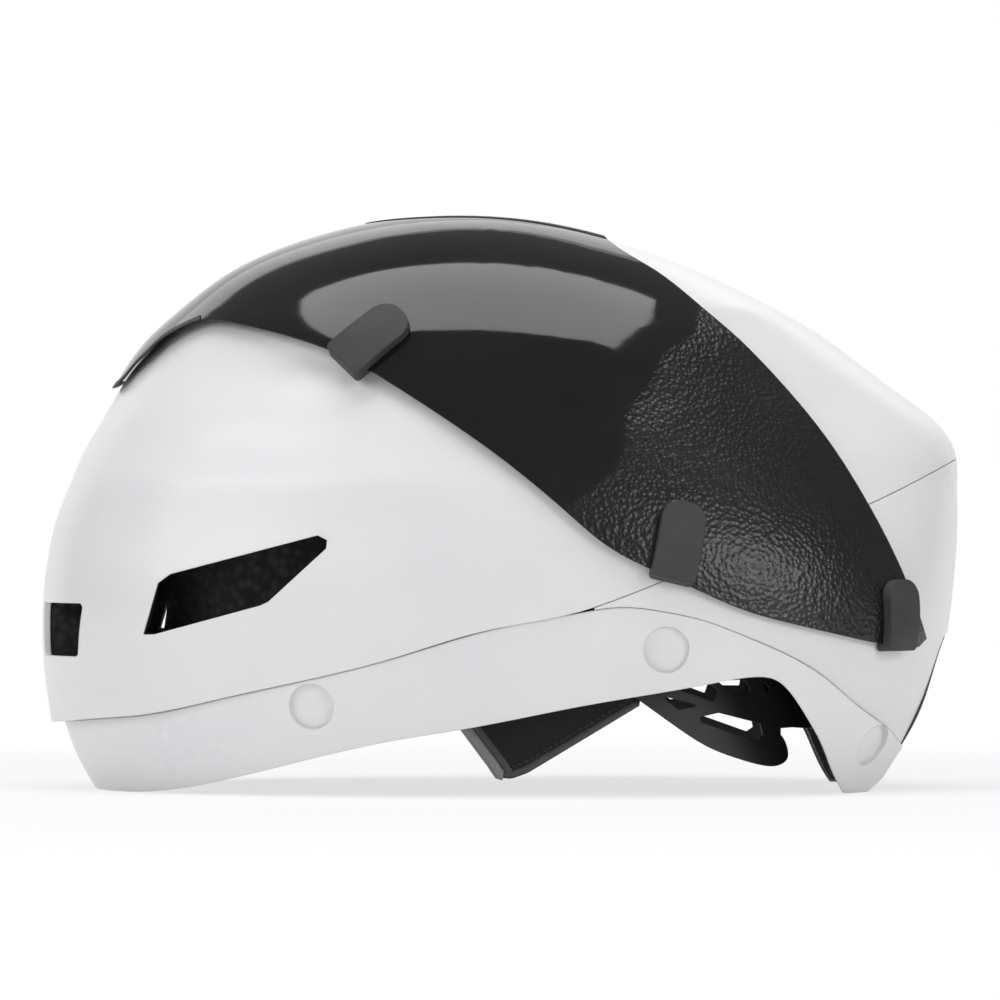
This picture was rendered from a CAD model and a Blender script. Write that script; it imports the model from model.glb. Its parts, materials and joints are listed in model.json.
import json
import math

import bmesh
import bpy
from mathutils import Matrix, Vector
from mathutils.bvhtree import BVHTree


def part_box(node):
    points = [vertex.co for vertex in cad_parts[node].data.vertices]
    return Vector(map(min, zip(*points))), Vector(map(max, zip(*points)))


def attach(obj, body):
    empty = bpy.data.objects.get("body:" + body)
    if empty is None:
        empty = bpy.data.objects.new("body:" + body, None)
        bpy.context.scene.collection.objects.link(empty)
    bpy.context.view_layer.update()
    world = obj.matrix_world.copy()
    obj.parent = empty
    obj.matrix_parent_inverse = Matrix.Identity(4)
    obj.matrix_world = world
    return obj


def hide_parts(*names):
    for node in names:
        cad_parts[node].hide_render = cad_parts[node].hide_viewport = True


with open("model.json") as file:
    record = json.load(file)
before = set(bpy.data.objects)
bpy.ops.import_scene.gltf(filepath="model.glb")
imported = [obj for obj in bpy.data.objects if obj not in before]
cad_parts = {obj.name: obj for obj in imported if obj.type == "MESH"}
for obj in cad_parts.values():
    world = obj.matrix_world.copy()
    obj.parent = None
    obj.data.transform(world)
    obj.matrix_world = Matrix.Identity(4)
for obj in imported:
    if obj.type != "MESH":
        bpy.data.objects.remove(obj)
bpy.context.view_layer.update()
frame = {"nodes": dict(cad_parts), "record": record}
nodes = frame["nodes"]

# Sizes and places are in metres: front toward -X, the wearer's left toward -Y, standing on z = 0.
HELMET_LENGTH = 0.302
HELMET_HEIGHT = 0.190
HEAD_CENTRE = (-0.02, 0.0, 0.055)
NAPE_CENTRE = (0.04, 0.0, 0.028)
CLEAR_OF_HELMET = 0.2


# ---------------------------------------------------------------- node materials
class Look:
    """A procedural material: short calls that add nodes round one Principled shader."""

    def __init__(self, name):
        self.mat = bpy.data.materials.new(name)
        self.mat.use_nodes = True
        self.tree = self.mat.node_tree
        self.shader = self.tree.nodes["Principled BSDF"]
        self.coord = self.tree.nodes.new("ShaderNodeTexCoord").outputs["Object"]

    def link(self, a, b):
        self.tree.links.new(a, b)

    def fixed(self, **values):
        for key, value in values.items():
            self.shader.inputs[key.replace("_", " ")].default_value = value

    def noise(self, scale, detail=3.0, rough=0.55):
        n = self.tree.nodes.new("ShaderNodeTexNoise")
        n.inputs["Scale"].default_value = scale
        n.inputs["Detail"].default_value = detail
        n.inputs["Roughness"].default_value = rough
        self.link(self.coord, n.inputs["Vector"])
        return n.outputs["Fac"]

    def cells(self, scale, feature="F1", smooth=0.4):
        n = self.tree.nodes.new("ShaderNodeTexVoronoi")
        n.feature = feature
        n.inputs["Scale"].default_value = scale
        if feature == "SMOOTH_F1":
            n.inputs["Smoothness"].default_value = smooth
        self.link(self.coord, n.inputs["Vector"])
        return n.outputs["Distance"]

    def wave(self, scale, axis="X", profile="SIN", distortion=0.0):
        n = self.tree.nodes.new("ShaderNodeTexWave")
        n.wave_type = "BANDS"
        n.bands_direction = axis
        n.wave_profile = profile
        n.inputs["Scale"].default_value = scale
        n.inputs["Distortion"].default_value = distortion
        self.link(self.coord, n.inputs["Vector"])
        return n.outputs["Fac"]

    def map(self, value, low, high, to_low=0.0, to_high=1.0, smooth=False):
        n = self.tree.nodes.new("ShaderNodeMapRange")
        n.interpolation_type = "SMOOTHSTEP" if smooth else "LINEAR"
        n.clamp = True
        self.link(value, n.inputs["Value"])
        limits = {"From Min": low, "From Max": high, "To Min": to_low, "To Max": to_high}
        for key, number in limits.items():
            n.inputs[key].default_value = number
        return n.outputs["Result"]

    def math(self, how, a, b=None):
        n = self.tree.nodes.new("ShaderNodeMath")
        n.operation = how
        for socket, value in zip(n.inputs, (a, b)):
            if value is None:
                continue
            if isinstance(value, (int, float)):
                socket.default_value = value
            else:
                self.link(value, socket)
        return n.outputs[0]

    def dot(self, direction):
        n = self.tree.nodes.new("ShaderNodeVectorMath")
        n.operation = "DOT_PRODUCT"
        self.link(self.coord, n.inputs[0])
        n.inputs[1].default_value = direction
        return n.outputs["Value"]

    def spot(self, x, z, radius):
        """1 at a place in the side view, falling smoothly to 0 at the radius."""
        across = self.math("POWER", self.math("SUBTRACT", self.dot((1, 0, 0)), x), 2.0)
        up = self.math("POWER", self.math("SUBTRACT", self.dot((0, 0, 1)), z), 2.0)
        away = self.math("SQRT", self.math("ADD", across, up))
        return self.map(away, 0.0, radius, 1.0, 0.0, True)

    def colours(self, factor, *stops):
        n = self.tree.nodes.new("ShaderNodeValToRGB")
        ramp = n.color_ramp
        ramp.elements[0].position, ramp.elements[1].position = stops[0][0], stops[-1][0]
        ramp.elements[0].color = (*stops[0][1], 1)
        ramp.elements[1].color = (*stops[-1][1], 1)
        for place, colour in stops[1:-1]:
            ramp.elements.new(place).color = (*colour, 1)
        self.link(factor, n.inputs["Fac"])
        return n.outputs["Color"]

    def bump(self, height, strength, distance, under=None):
        n = self.tree.nodes.new("ShaderNodeBump")
        n.inputs["Strength"].default_value = strength
        n.inputs["Distance"].default_value = distance
        self.link(height, n.inputs["Height"])
        if under is not None:
            self.link(under, n.inputs["Normal"])
        return n.outputs["Normal"]

    def soft_edges(self, radius):
        n = self.tree.nodes.new("ShaderNodeBevel")
        n.samples = 4
        n.inputs["Radius"].default_value = radius
        return n.outputs["Normal"]

    def set(self, colour=None, roughness=None, normal=None):
        if colour is not None:
            self.link(colour, self.shader.inputs["Base Color"])
        if roughness is not None:
            self.link(roughness, self.shader.inputs["Roughness"])
        if normal is not None:
            self.link(normal, self.shader.inputs["Normal"])
        return self.mat


def shell_look():
    look = Look("white_lacquer")
    broad = look.noise(14.0, 4.0)
    fine = look.noise(1400.0, 2.0)
    scuffs = look.cells(90.0, "F1")
    colour = look.colours(broad, (0.3, (0.77, 0.775, 0.785)), (0.7, (0.82, 0.82, 0.825)))
    wear = look.math("ADD", broad, look.map(scuffs, 0.0, 0.25, 0.12, 0.0))
    rough = look.map(wear, 0.3, 0.9, 0.26, 0.38)
    look.fixed(Coat_Weight=0.18, Coat_Roughness=0.2, Specular_IOR_Level=0.45)
    normal = look.bump(fine, strength=0.05, distance=0.00012, under=look.soft_edges(0.0007))
    return look.set(colour, rough, normal)


def foam_look():
    look = Look("black_bead_foam")
    beads = look.cells(330.0, "SMOOTH_F1", 0.25)
    broad = look.noise(60.0)
    mottle = look.math("MULTIPLY", beads, broad)
    colour = look.colours(mottle, (0.0, (0.030, 0.030, 0.033)), (0.5, (0.012, 0.012, 0.013)))
    look.fixed(Specular_IOR_Level=0.35)
    normal = look.bump(beads, strength=0.6, distance=0.0006)
    return look.set(colour, look.map(beads, 0.0, 0.6, 0.55, 0.85), normal)


def lens_look():
    look = Look("smoked_lens")
    # the cheeks are grained: everything behind a slanting line in the side view
    across_line = (0.83, 0.0, -0.55)
    line_starts, line_ends = -0.034, -0.028
    line_waver = 0.006
    waver = look.map(look.noise(30.0, 2.0), 0.2, 0.8, -line_waver, line_waver)
    place = look.math("ADD", look.dot(across_line), waver)
    grained = look.map(place, line_starts, line_ends, 0.0, 1.0, True)
    pebbles = look.cells(680.0, "SMOOTH_F1", 0.35)
    small = look.noise(1500.0, 3.0)
    height = look.math("ADD", pebbles, look.math("MULTIPLY", small, 0.25))
    height = look.math("MULTIPLY", height, grained)
    haze = look.noise(22.0, 5.0, 0.6)
    colour = look.colours(haze, (0.3, (0.0065, 0.0065, 0.0075)), (0.75, (0.012, 0.0115, 0.011)))
    smooth_rough = look.map(haze, 0.3, 0.8, 0.045, 0.10)
    rough = look.math("ADD", smooth_rough, look.math("MULTIPLY", grained, 0.20))
    look.fixed(Specular_IOR_Level=0.5, IOR=1.5)
    # shallow dents where the smooth front passes into the grained cheek
    upper_dent = look.spot(0.066, 0.156, radius=0.016)
    lower_dent = look.math("MULTIPLY", look.spot(0.046, 0.128, radius=0.014), 0.8)
    swells = look.math("MULTIPLY", look.noise(26.0, 1.0), 0.3)
    waves = look.math("SUBTRACT", swells, look.math("ADD", upper_dent, lower_dent))
    wavy = look.bump(waves, strength=0.5, distance=0.0012, under=look.soft_edges(0.0006))
    normal = look.bump(height, strength=0.5, distance=0.00045, under=wavy)
    return look.set(colour, rough, normal)


def black_of(tone, share, blue):
    """A near-black of the tone times the share, with a little more blue."""
    return (tone * share, tone * share, tone * blue)


def rubber_look(name="soft_rubber", tone=0.042):
    look = Look(name)
    grain = look.noise(2600.0, 2.0)
    broad = look.noise(90.0, 4.0)
    colour = look.colours(broad, (0.3, black_of(tone, 0.8, 0.84)), (0.75, black_of(tone, 1.25, 1.3)))
    look.fixed(Specular_IOR_Level=0.4)
    normal = look.bump(grain, strength=0.25, distance=0.0001, under=look.soft_edges(0.0008))
    return look.set(colour, look.map(broad, 0.3, 0.8, 0.5, 0.68), normal)


def nylon_look(name="satin_nylon", tone=0.02):
    look = Look(name)
    grain = look.noise(1900.0, 2.0)
    broad = look.noise(55.0, 4.0)
    colour = look.colours(broad, (0.3, black_of(tone, 0.8, 0.85)), (0.75, black_of(tone, 1.4, 1.45)))
    look.fixed(Specular_IOR_Level=0.5)
    normal = look.bump(grain, strength=0.12, distance=0.00008, under=look.soft_edges(0.0006))
    return look.set(colour, look.map(broad, 0.3, 0.8, 0.3, 0.44), normal)


def knit_look():
    look = Look("brushed_knit")
    loops = look.cells(900.0, "SMOOTH_F1", 0.5)
    rows = look.wave(420.0, "Z", distortion=0.4)
    fuzz = look.noise(3000.0, 3.0)
    height = look.math("ADD", look.math("MULTIPLY", loops, 0.7), look.math("MULTIPLY", rows, 0.35))
    shade = look.math("ADD", look.math("MULTIPLY", fuzz, 0.6), look.math("MULTIPLY", height, 0.4))
    colour = look.colours(shade, (0.25, (0.016, 0.016, 0.018)), (0.8, (0.05, 0.05, 0.055)))
    look.fixed(Sheen_Weight=0.35, Sheen_Roughness=0.5, Specular_IOR_Level=0.2)
    normal = look.bump(height, strength=0.5, distance=0.0004)
    return look.set(colour, look.map(fuzz, 0.2, 0.8, 0.8, 0.95), normal)


def webbing_look():
    look = Look("woven_webbing")
    ribs = look.wave(330.0, "Y", profile="SIN")
    warp = look.wave(500.0, "X", profile="TRI")
    fuzz = look.noise(2500.0, 3.0)
    height = look.math("ADD", look.math("MULTIPLY", ribs, 0.6), look.math("MULTIPLY", warp, 0.5))
    shade = look.math("ADD", look.math("MULTIPLY", height, 0.5), look.math("MULTIPLY", fuzz, 0.4))
    colour = look.colours(shade, (0.2, (0.012, 0.012, 0.013)), (0.9, (0.045, 0.045, 0.05)))
    look.fixed(Sheen_Weight=0.15, Sheen_Roughness=0.5, Specular_IOR_Level=0.25)
    normal = look.bump(height, strength=0.55, distance=0.0003)
    return look.set(colour, look.map(fuzz, 0.2, 0.8, 0.65, 0.85), normal)


def leather_look(name, dark, light, roughness=(0.5, 0.7)):
    look = Look(name)
    grain = look.cells(750.0, "SMOOTH_F1", 0.3)
    creases = look.noise(120.0, 5.0, 0.6)
    height = look.math("ADD", look.math("MULTIPLY", grain, 0.8), look.math("MULTIPLY", creases, 0.4))
    colour = look.colours(creases, (0.3, (dark,) * 3), (0.75, (light,) * 3))
    look.fixed(Specular_IOR_Level=0.3)
    normal = look.bump(height, strength=0.4, distance=0.0003)
    return look.set(colour, look.map(creases, 0.3, 0.8, *roughness), normal)


def metal_look():
    look = Look("plated_magnet")
    rings = look.noise(700.0, 3.0)
    broad = look.noise(100.0, 4.0)
    colour = look.colours(broad, (0.3, (0.55, 0.55, 0.57)), (0.75, (0.72, 0.72, 0.74)))
    look.fixed(Metallic=1.0)
    normal = look.bump(rings, strength=0.1, distance=0.00008)
    return look.set(colour, look.map(rings, 0.3, 0.8, 0.22, 0.4), normal)


looks = {
    "shell": shell_look(),
    "foam": foam_look(),
    "lens": lens_look(),
    "rubber": rubber_look(),
    "cradle_plastic": nylon_look(),
    "pad_fabric": knit_look(),
    "panel_leather": leather_look("black_leatherette", 0.010, 0.022),
    "webbing": webbing_look(),
    "magnet": metal_look(),
}
grey_binding = leather_look("grey_binding", 0.10, 0.135)
edge_binding = leather_look("edge_binding", 0.34, 0.44, (0.4, 0.55))
thread = rubber_look("grey_thread", 0.11)

for row in frame["record"]["subparts"]:
    thing = nodes[row["node"]]
    thing.data.materials.clear()
    thing.data.materials.append(looks[row["material_slot"]])


# ---------------------------------------------------------------- small mesh helpers
def new_object(name, mesh, look, body):
    """A visible piece that rides on a body."""
    thing = bpy.data.objects.new(name, mesh)
    bpy.context.scene.collection.objects.link(thing)
    mesh.materials.append(look)
    for face in mesh.polygons:
        face.use_smooth = True
    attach(thing, body)
    return thing


def finished_mesh(bm, name):
    """The mesh of what was built, with its faces turned outward."""
    bmesh.ops.recalc_face_normals(bm, faces=bm.faces)
    mesh = bpy.data.meshes.new(name)
    bm.to_mesh(mesh)
    bm.free()
    return mesh


def skin_rings(bm, rings):
    """A closed skin over rings of equal count, with a cap at each end."""
    count = len(rings[0])
    for low, high in zip(rings, rings[1:]):
        for i in range(count):
            after = (i + 1) % count
            bm.faces.new((low[i], low[after], high[after], high[i]))
    bm.faces.new(list(reversed(rings[0])))
    bm.faces.new(rings[-1])


def applied(thing):
    """Give the object a mesh with its modifiers applied."""
    graph = bpy.context.evaluated_depsgraph_get()
    made = bpy.data.meshes.new_from_object(thing.evaluated_get(graph), depsgraph=graph)
    materials = list(thing.data.materials)
    thing.modifiers.clear()
    thing.data = made
    made.materials.clear()
    for m in materials:
        made.materials.append(m)
    for face in made.polygons:
        face.use_smooth = True


# ---------------------------------------------------------------- soft pieces
def tree_of(node):
    """A search tree on a CAD node's surface."""
    mesh = nodes[node].data
    places = [v.co.copy() for v in mesh.vertices]
    return BVHTree.FromPolygons(places, [tuple(f.vertices) for f in mesh.polygons])


CLOTH_FRAMES = 20
CLOTH_PRESSURE = 4.0
WALL_FACING = 0.35
CHANNEL_DEPTH = 0.0012
CHANNEL_HALF = 0.0024


def blown_up(thing, centre, swell):
    """Blow the pad up as cloth with its wall side held, and keep each move under the swell."""
    mesh = thing.data
    rest = [v.co.copy() for v in mesh.vertices]
    wall = thing.vertex_groups.new(name="wall")
    for v in mesh.vertices:
        outward = (v.co - centre).normalized()
        wall.add([v.index], 1.0 if v.normal.dot(outward) > WALL_FACING else 0.0, "REPLACE")
    cloth = thing.modifiers.new("cloth", "CLOTH")
    cloth.settings.use_pressure = True
    cloth.settings.uniform_pressure_force = CLOTH_PRESSURE
    cloth.settings.vertex_group_mass = "wall"
    cloth.settings.effector_weights.gravity = 0.0
    cloth.settings.quality = 5
    cloth.point_cache.frame_start = 1
    cloth.point_cache.frame_end = CLOTH_FRAMES
    for number in range(1, CLOTH_FRAMES + 1):
        bpy.context.scene.frame_set(number)
    graph = bpy.context.evaluated_depsgraph_get()
    blown = bpy.data.meshes.new_from_object(thing.evaluated_get(graph), depsgraph=graph)
    bpy.context.scene.frame_set(1)
    thing.modifiers.clear()
    if len(blown.vertices) == len(rest):
        for v, place in zip(mesh.vertices, rest):
            move = blown.vertices[v.index].co - place
            if move.length > swell:
                move = move.normalized() * swell
            v.co = place + move
    bpy.data.meshes.remove(blown)


def press_channel(mesh, centre, point, across):
    """Press one sewn channel into the face that looks toward the centre."""
    for v in mesh.vertices:
        away = abs((v.co - Vector(point)).dot(Vector(across)))
        if away < CHANNEL_HALF:
            inward = (centre - v.co).normalized()
            facing = max(0.0, v.normal.dot(inward))
            v.co -= inward * CHANNEL_DEPTH * facing * (1 - (away / CHANNEL_HALF) ** 2)


def soft_pad(name, node, body, out_from, swell=0.0022, voxel=0.0026, channels=()):
    """A padded form from a CAD pad: its wall side stays, its face crowns, and its edges draw in."""
    source = nodes[node]
    mesh = source.data.copy()
    mesh.name = name
    thing = bpy.data.objects.new(name, mesh)
    bpy.context.scene.collection.objects.link(thing)
    mesh.materials.clear()
    mesh.materials.append(looks["pad_fabric"])
    weld = thing.modifiers.new("weld", "WELD")
    weld.merge_threshold = 0.00002
    remesh = thing.modifiers.new("remesh", "REMESH")
    remesh.mode = "VOXEL"
    remesh.voxel_size = voxel
    even = thing.modifiers.new("even", "SMOOTH")
    even.factor = 0.5
    even.iterations = 3
    applied(thing)
    centre = Vector(out_from)
    blown_up(thing, centre, swell)
    # the channels come after the remesh, so that they stay crisp
    for point, across in channels:
        press_channel(thing.data, centre, point, across)
    finer = thing.modifiers.new("finer", "SUBSURF")
    finer.levels = finer.render_levels = 1
    applied(thing)
    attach(thing, body)
    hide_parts(node)
    return thing


def channels_across(axis, places):
    """Sewn channels square to an axis, at places along it."""
    return [(tuple(place * share for share in axis), axis) for place in places]


ACROSS_X, ACROSS_Y = (1, 0, 0), (0, 1, 0)
soft_pad("brow_cushion", "brow_pad", "helmet", HEAD_CENTRE,
         channels=channels_across(ACROSS_Y, (-0.036, -0.012, 0.012, 0.036)))
soft_pad("rear_cushion", "rear_pad", "helmet", HEAD_CENTRE,
         channels=channels_across(ACROSS_Y, (0.0,)))
soft_pad("crown_cushion", "crown_pad", "helmet", HEAD_CENTRE,
         channels=channels_across(ACROSS_X, (-0.035, 0.0, 0.02)))
for side_name in ("left", "right"):
    soft_pad(side_name + "_crown_cushion", side_name + "_side_pad", "helmet", HEAD_CENTRE,
             channels=channels_across(ACROSS_X, (-0.03, 0.005)))
soft_pad("nape_cushions", "cradle_cushions", "cradle", NAPE_CENTRE, swell=0.0010, voxel=0.0016)


# ---------------------------------------------------------------- straps and flaps
STRAP_THICKNESS = 0.0015
STRAP_BEND = 0.007
BEND_STEPS = 8
THREADS_PER_ROW = 6
THREAD_PITCH = 0.0022
THREAD_LENGTH = 0.0017
THREAD_RADIUS = 0.00025
THREAD_LIFT = 0.00005


def ribbon(name, centreline, half_width, half_thickness, look, body):
    """Flat webbing along a line in the Y-Z plane, with rounded selvages."""
    profile = []
    edge = half_width - half_thickness
    for middle, start in ((edge, -math.pi / 2), (-edge, math.pi / 2)):
        for i in range(BEND_STEPS + 1):
            a = start + math.pi * (i / BEND_STEPS)
            profile.append((middle + half_thickness * math.cos(a), half_thickness * math.sin(a)))
    bm = bmesh.new()
    rings = []
    for k, (x, y, z) in enumerate(centreline):
        before = centreline[max(k - 1, 0)]
        after = centreline[min(k + 1, len(centreline) - 1)]
        along = Vector((0, after[1] - before[1], after[2] - before[2])).normalized()
        normal = Vector((0, -along.z, along.y))
        rings.append([bm.verts.new((x + u, y + normal.y * w, z + normal.z * w)) for u, w in profile])
    skin_rings(bm, rings)
    return new_object(name, finished_mesh(bm, name), look, body)


def stitches(name, rows, body, look):
    """Short raised threads, each from one point to another, on a surface whose normal is given."""
    angles = [k * math.pi / 3 for k in range(6)]
    bm = bmesh.new()
    for start, end, normal, radius in rows:
        a, b, n = Vector(start), Vector(end), Vector(normal).normalized()
        side = (b - a).normalized().cross(n).normalized()
        rings = []
        for t, lift in ((0.0, -0.5), (0.2, 0.5), (0.5, 0.9), (0.8, 0.5), (1.0, -0.5)):
            centre = a.lerp(b, t) + n * radius * lift
            rings.append([bm.verts.new(centre + side * radius * math.cos(q) + n * radius * math.sin(q))
                          for q in angles])
        skin_rings(bm, rings)
    return new_object(name, finished_mesh(bm, name), look, body)


def thread_row(x, y, z, normal):
    """One row of short threads along X, centred near x."""
    first = x - THREADS_PER_ROW / 2 * THREAD_PITCH
    starts = [first + j * THREAD_PITCH for j in range(THREADS_PER_ROW)]
    return [((u, y, z), (u + THREAD_LENGTH, y, z), normal, THREAD_RADIUS) for u in starts]


def chin_strap(side_name, sign):
    """Webbing that hangs from its anchor, bends, and runs across the mouth to the buckle."""
    node = side_name + "_chin_strap"
    low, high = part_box(node)
    out = (abs(low.y) if sign < 0 else high.y) - STRAP_THICKNESS / 2
    end = abs(high.y) if sign < 0 else low.y
    x = (low.x + high.x) / 2
    run = low.z + STRAP_THICKNESS / 2
    hang_steps, run_steps = 6, 10
    line = []
    for i in range(hang_steps + 1):
        line.append((x, sign * out, high.z + (run + STRAP_BEND - high.z) * i / hang_steps))
    for i in range(1, BEND_STEPS + 1):
        a = math.pi / 2 * i / BEND_STEPS
        line.append((x, sign * (out - STRAP_BEND + STRAP_BEND * math.cos(a)),
                     run + STRAP_BEND - STRAP_BEND * math.sin(a)))
    for i in range(1, run_steps + 1):
        line.append((x, sign * (out - STRAP_BEND + (end - out + STRAP_BEND) * i / run_steps), run))
    strap = ribbon(node + "_web", line, (high.x - low.x) / 2, STRAP_THICKNESS / 2,
                   looks["webbing"], "helmet")
    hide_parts(node)

    # sewn at the anchor, on the inner face, and at the buckle, on the upper face
    anchor_inset, anchor_pitch, anchor_rows = 0.0015, 0.0022, 5
    buckle_inset, buckle_pitch, buckle_rows = 0.0025, 0.002, 4
    face = STRAP_THICKNESS / 2 + THREAD_LIFT
    rows = []
    for k in range(anchor_rows):
        z = high.z - anchor_inset - k * anchor_pitch
        rows += thread_row(x, sign * (out - face), z, (0, -sign, 0))
    for k in range(buckle_rows):
        y = sign * (end + buckle_inset + k * buckle_pitch)
        rows += thread_row(x, y, run + face, (0, 0, 1))
    sewing = stitches(node + "_stitches", rows, "helmet", thread)


# The flap's outline from its top front corner, down and back, as shares of length and height.
FLAP_OUTLINE_SHARES = (
    (0.445, 0.175), (0.462, 0.112), (0.492, 0.048), (0.500, 0.029),
    (0.512, 0.027), (0.528, 0.036), (0.650, 0.152), (0.655, 0.215),
)
FLAP_TIP = 3
FLAP_REAR_CORNER = -2
FLAP_COLUMNS, FLAP_ROWS = 44, 22
FLAP_END_SHARE = 0.004
FLAP_HALF_THICKNESS = 0.0009
FLAP_DEPTH = 0.001
FLAP_RIPPLE = 0.0008
FLAP_FACE_Y = 0.0685
FLAP_THREAD_RADIUS = 0.00022


class FlapOutline:
    """The flap's side view: a lower edge from corner to corner and a straight upper edge."""

    def __init__(self):
        self.points = [((s - 0.5) * HELMET_LENGTH, h * HELMET_HEIGHT) for s, h in FLAP_OUTLINE_SHARES]
        (self.front, self.front_top), (self.rear, self.rear_top) = self.points[0], self.points[-1]
        self.width = self.rear - self.front

    def lower(self, x):
        for (xa, za), (xb, zb) in zip(self.points, self.points[1:]):
            if xa <= x <= xb and xb > xa:
                return za + (zb - za) * (x - xa) / (xb - xa)
        return self.rear_top

    def upper(self, x):
        return self.front_top + (self.rear_top - self.front_top) * (x - self.front) / self.width


def outer_face(search, outline, sign, x):
    """How far out the CAD flap's outer face lies at x, or None where it has none."""
    low, high = outline.lower(x), outline.upper(x)
    for share in (0.5, 0.3, 0.7, 0.1, 0.9):
        start = Vector((x, sign * CLEAR_OF_HELMET, low + (high - low) * share))
        place = search.ray_cast(start, Vector((0, -sign, 0)))[0]
        if place is not None:
            return place.y
    return None


def flap_grid(search, outline, sign):
    """The middle of the flap's sheet, column by column from front to rear."""
    grid = []
    y_out = sign * FLAP_FACE_Y
    for i in range(FLAP_COLUMNS + 1):
        along = FLAP_END_SHARE + (1 - 2 * FLAP_END_SHARE) * i / FLAP_COLUMNS
        x = outline.front + outline.width * along
        found = outer_face(search, outline, sign, x)
        if found is not None:
            y_out = found
        low, high = outline.lower(x), outline.upper(x)
        column = []
        for j in range(FLAP_ROWS + 1):
            # the leather ripples a little, most in the middle of its height
            ripple = FLAP_RIPPLE * math.sin(3.1 * j / FLAP_ROWS) * math.sin(5.0 * i / FLAP_COLUMNS)
            y = y_out - sign * (FLAP_DEPTH + ripple * 0.4)
            column.append(Vector((x, y, low + (high - low) * j / FLAP_ROWS)))
        grid.append(column)
    return grid


def sheet_mesh(name, grid, sign):
    """A sheet of even thickness over a grid, with closed edges."""
    columns, rows = len(grid) - 1, len(grid[0]) - 1
    half = Vector((0, sign * FLAP_HALF_THICKNESS, 0))
    bm = bmesh.new()
    outer, inner = [], []
    for column in grid:
        outer.append([bm.verts.new(place + half) for place in column])
        inner.append([bm.verts.new(place - half) for place in column])
    for i in range(columns):
        for j in range(rows):
            bm.faces.new((outer[i][j], outer[i + 1][j], outer[i + 1][j + 1], outer[i][j + 1]))
            bm.faces.new((inner[i][j], inner[i][j + 1], inner[i + 1][j + 1], inner[i + 1][j]))
    for i in range(columns):
        bm.faces.new((outer[i][0], inner[i][0], inner[i + 1][0], outer[i + 1][0]))
        bm.faces.new((outer[i][rows], outer[i + 1][rows], inner[i + 1][rows], inner[i][rows]))
    for j in range(rows):
        bm.faces.new((outer[0][j], outer[0][j + 1], inner[0][j + 1], inner[0][j]))
        bm.faces.new((outer[columns][j], inner[columns][j], inner[columns][j + 1], outer[columns][j + 1]))
    return finished_mesh(bm, name)


def rolled_edge(name, path, sign, radius, squash, look):
    """A rolled edge along a path, flattened square to the flap."""
    angles = [q * math.pi / 6 for q in range(12)]
    outward = Vector((0, sign, 0))
    bm = bmesh.new()
    rings = []
    for k, place in enumerate(path):
        before, after = path[max(k - 1, 0)], path[min(k + 1, len(path) - 1)]
        side = (after - before).normalized().cross(outward).normalized()
        rings.append([bm.verts.new(place + side * radius * math.cos(a)
                                   + outward * radius * squash * math.sin(a)) for a in angles])
    skin_rings(bm, rings)
    return new_object(name, finished_mesh(bm, name), look, "helmet")


def edge_path(outline, grid, start_x, end_x, inset, steps):
    """Places along the flap's lower edge, drawn in by the inset."""
    path = []
    for k in range(steps + 1):
        x = start_x + (end_x - start_x) * k / steps
        column = min(max((x - outline.front) / outline.width * FLAP_COLUMNS, 0), FLAP_COLUMNS)
        path.append(Vector((x, grid[int(round(column))][0].y, outline.lower(x) + inset)))
    return path


def strap_panel(side_name, sign):
    """The leather flap below the rim: a limp sheet with a grey binding and a padded front roll."""
    node = side_name + "_strap_panel"
    outline = FlapOutline()
    grid = flap_grid(tree_of(node), outline, sign)
    flap = new_object(node + "_sheet", sheet_mesh(node + "_sheet", grid, sign),
                      looks["panel_leather"], "helmet")
    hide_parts(node)

    tip = outline.points[FLAP_TIP][0]
    rear_corner = outline.points[FLAP_REAR_CORNER][0]
    front_start = outline.front + 0.0016
    front_inset, front_steps = 0.0010, 26
    roll_path = edge_path(outline, grid, front_start, tip + 0.0012, front_inset, front_steps)
    roll = rolled_edge(node + "_front_roll", roll_path, sign, 0.0019, 0.8, edge_binding)
    band_path = edge_path(outline, grid, tip + 0.001, rear_corner - 0.0008, 0.0012, 40)
    band = rolled_edge(node + "_lower_binding", band_path, sign, 0.0014, 0.95, grey_binding)

    # the binding's inner turn shows beside the roll
    binding_width, binding_lift, binding_rise = 0.0036, 0.0003, 0.0016
    facing_path = []
    for place in edge_path(outline, grid, front_start, tip + 0.0005, front_inset, front_steps):
        x = place.x + binding_width
        z = max(place.z, outline.lower(x) + binding_rise)
        facing_path.append(Vector((x, place.y + sign * binding_lift, z)))
    facing = rolled_edge(node + "_front_binding", facing_path, sign, 0.00135, 0.75, grey_binding)

    # one row of stitches above the lower binding
    seam_path = edge_path(outline, grid, tip + 0.004, rear_corner - 0.003, 0.0036, 20)
    rows = []
    for a, b in zip(seam_path, seam_path[1:]):
        y = a.y + sign * (FLAP_HALF_THICKNESS + THREAD_LIFT)
        start = Vector((a.x, y, a.z))
        end = Vector((a.x + (b.x - a.x) * 0.75, y, a.z + (b.z - a.z) * 0.75))
        rows.append((start, end, (0, sign, 0), FLAP_THREAD_RADIUS))
    sewing = stitches(node + "_stitches", rows, "helmet", thread)


SIDES = (("left", -1), ("right", 1))
for side_name, sign in SIDES:
    chin_strap(side_name, sign)
for side_name, sign in SIDES:
    strap_panel(side_name, sign)


# ---------------------------------------------------------------- stage, camera, lights
FLOOR_NEAR_Y, CURVE_START_Y, CURVE_RADIUS = -4.0, 3.6, 0.9
WALL_HEIGHT = 4.0
FLOOR_HALF_WIDTH = 5.0
CURVE_STEPS = 16
SHADOW_REACH, WHITE_FROM = 0.20, 0.60
SHADOW_SHARE = 0.72


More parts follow.
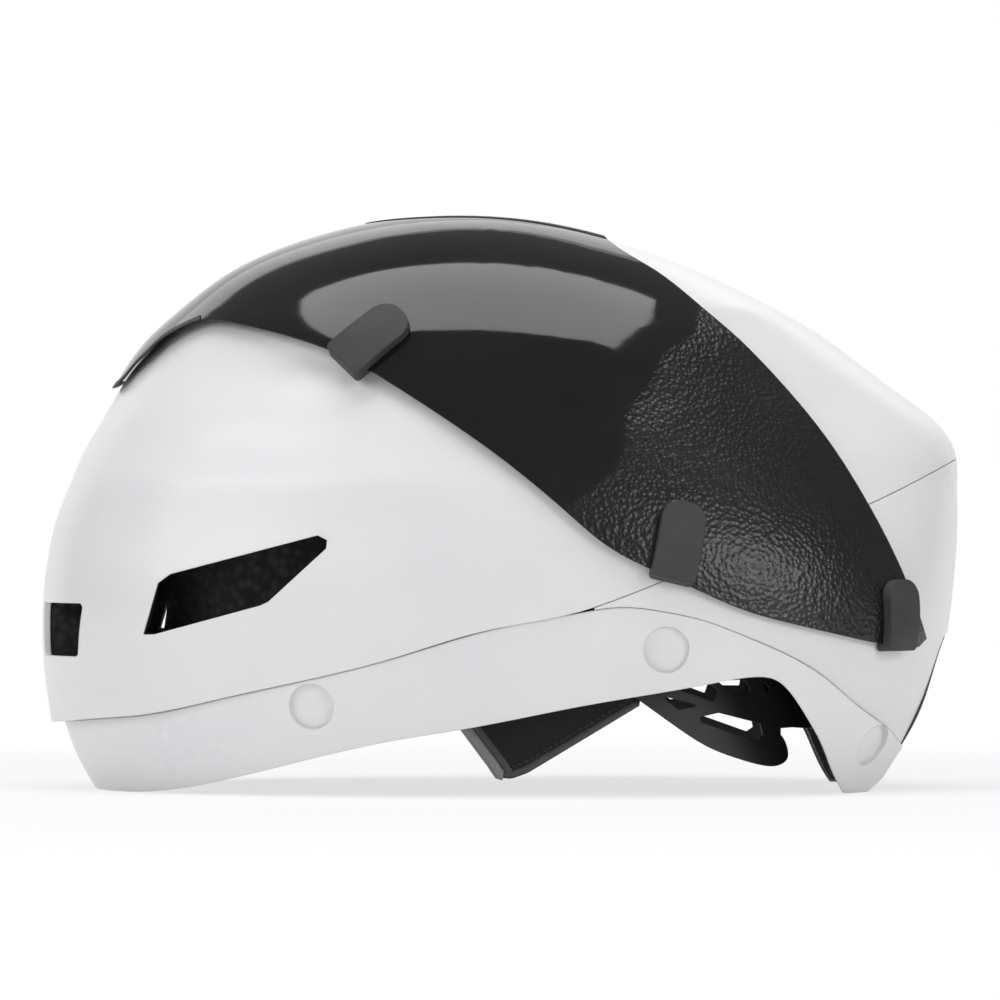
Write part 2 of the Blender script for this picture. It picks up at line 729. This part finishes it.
def backdrop():
    """A pale floor that curves up into a wall, past the cameras behind and beside the part."""
    profile = [(FLOOR_NEAR_Y, 0.0)]
    for i in range(CURVE_STEPS + 1):
        a = math.pi / 2 * i / CURVE_STEPS
        profile.append((CURVE_START_Y + CURVE_RADIUS * math.sin(a), CURVE_RADIUS * (1 - math.cos(a))))
    profile.append((CURVE_START_Y + CURVE_RADIUS, WALL_HEIGHT))
    bm = bmesh.new()
    rows = [[bm.verts.new((x, y, z)) for y, z in profile] for x in (-FLOOR_HALF_WIDTH, FLOOR_HALF_WIDTH)]
    for i in range(len(profile) - 1):
        bm.faces.new((rows[0][i], rows[1][i], rows[1][i + 1], rows[0][i + 1]))
    mesh = bpy.data.meshes.new("studio_floor")
    bm.to_mesh(mesh)
    bm.free()
    thing = bpy.data.objects.new("studio_floor", mesh)
    bpy.context.scene.collection.objects.link(thing)
    for face in mesh.polygons:
        face.use_smooth = True
    look = Look("pale_backdrop")
    shade = look.noise(3.0, 2.0)
    colour = look.colours(shade, (0.3, (0.86, 0.86, 0.86)), (0.7, (0.88, 0.88, 0.88)))
    look.set(colour, look.map(shade, 0.2, 0.8, 0.75, 0.85))
    # seen by the camera the backdrop is white, and the floor near the object keeps its shadow
    white = look.tree.nodes.new("ShaderNodeEmission")
    white.inputs["Strength"].default_value = 1.0
    path = look.tree.nodes.new("ShaderNodeLightPath")
    mirrored = look.math("MAXIMUM", path.outputs["Is Glossy Ray"], path.outputs["Is Transmission Ray"])
    seen = look.math("MAXIMUM", path.outputs["Is Camera Ray"], mirrored)
    length = look.tree.nodes.new("ShaderNodeVectorMath")
    length.operation = "LENGTH"
    look.link(look.coord, length.inputs[0])
    far = look.map(length.outputs["Value"], SHADOW_REACH, WHITE_FROM, SHADOW_SHARE, 1.0, True)
    blend = look.tree.nodes.new("ShaderNodeMixShader")
    look.link(look.math("MULTIPLY", seen, far), blend.inputs[0])
    look.link(look.shader.outputs[0], blend.inputs[1])
    look.link(white.outputs[0], blend.inputs[2])
    look.link(blend.outputs[0], look.tree.nodes["Material Output"].inputs["Surface"])
    mesh.materials.append(look.mat)


backdrop()

world = bpy.data.worlds.new("soft_room")
bpy.context.scene.world = world
world.use_nodes = True
room = world.node_tree.nodes["Background"]
room.inputs["Color"].default_value = (0.78, 0.79, 0.80, 1)
room.inputs["Strength"].default_value = 0.30


def soft_box(name, place, aim_height, size, power):
    """A rectangular lamp that looks at the part's middle, at a height above the floor."""
    data = bpy.data.lights.new(name, "AREA")
    data.shape = "RECTANGLE"
    data.size, data.size_y = size
    data.energy = power
    thing = bpy.data.objects.new(name, data)
    bpy.context.scene.collection.objects.link(thing)
    thing.location = place
    away = Vector((0.0, 0.0, aim_height)) - Vector(place)
    thing.rotation_euler = away.to_track_quat("-Z", "Y").to_euler()


soft_box("roof_box", (0.0, -0.1, 1.5), aim_height=0.1, size=(1.4, 0.9), power=14)
soft_box("key_box", (-1.9, -1.35, 1.2), aim_height=0.1, size=(1.9, 1.5), power=21)
soft_box("fill_box", (1.5, -1.7, 0.8), aim_height=0.1, size=(1.0, 1.0), power=14)
soft_box("back_box", (0.1, 1.5, 1.2), aim_height=0.15, size=(2.2, 0.6), power=2.5)

# a long lens, square to the part's left side, that takes in the photograph's width of 0.33 m
PHOTO_WIDTH = 0.330
LENS_LENGTH, SENSOR_WIDTH = 300.0, 36.0
VIEW_CENTRE_X, VIEW_CENTRE_Z = 0.000165, 0.0947
camera_data = bpy.data.cameras.new("photo_camera")
camera = bpy.data.objects.new("photo_camera", camera_data)
bpy.context.scene.collection.objects.link(camera)
camera_data.lens = LENS_LENGTH
camera_data.sensor_width = SENSOR_WIDTH
camera_data.clip_end = 20.0
camera.location = (VIEW_CENTRE_X, -PHOTO_WIDTH * LENS_LENGTH / SENSOR_WIDTH, VIEW_CENTRE_Z)
camera.rotation_euler = (math.radians(90), 0, 0)
bpy.context.scene.camera = camera
bpy.context.scene.view_settings.view_transform = "Standard"
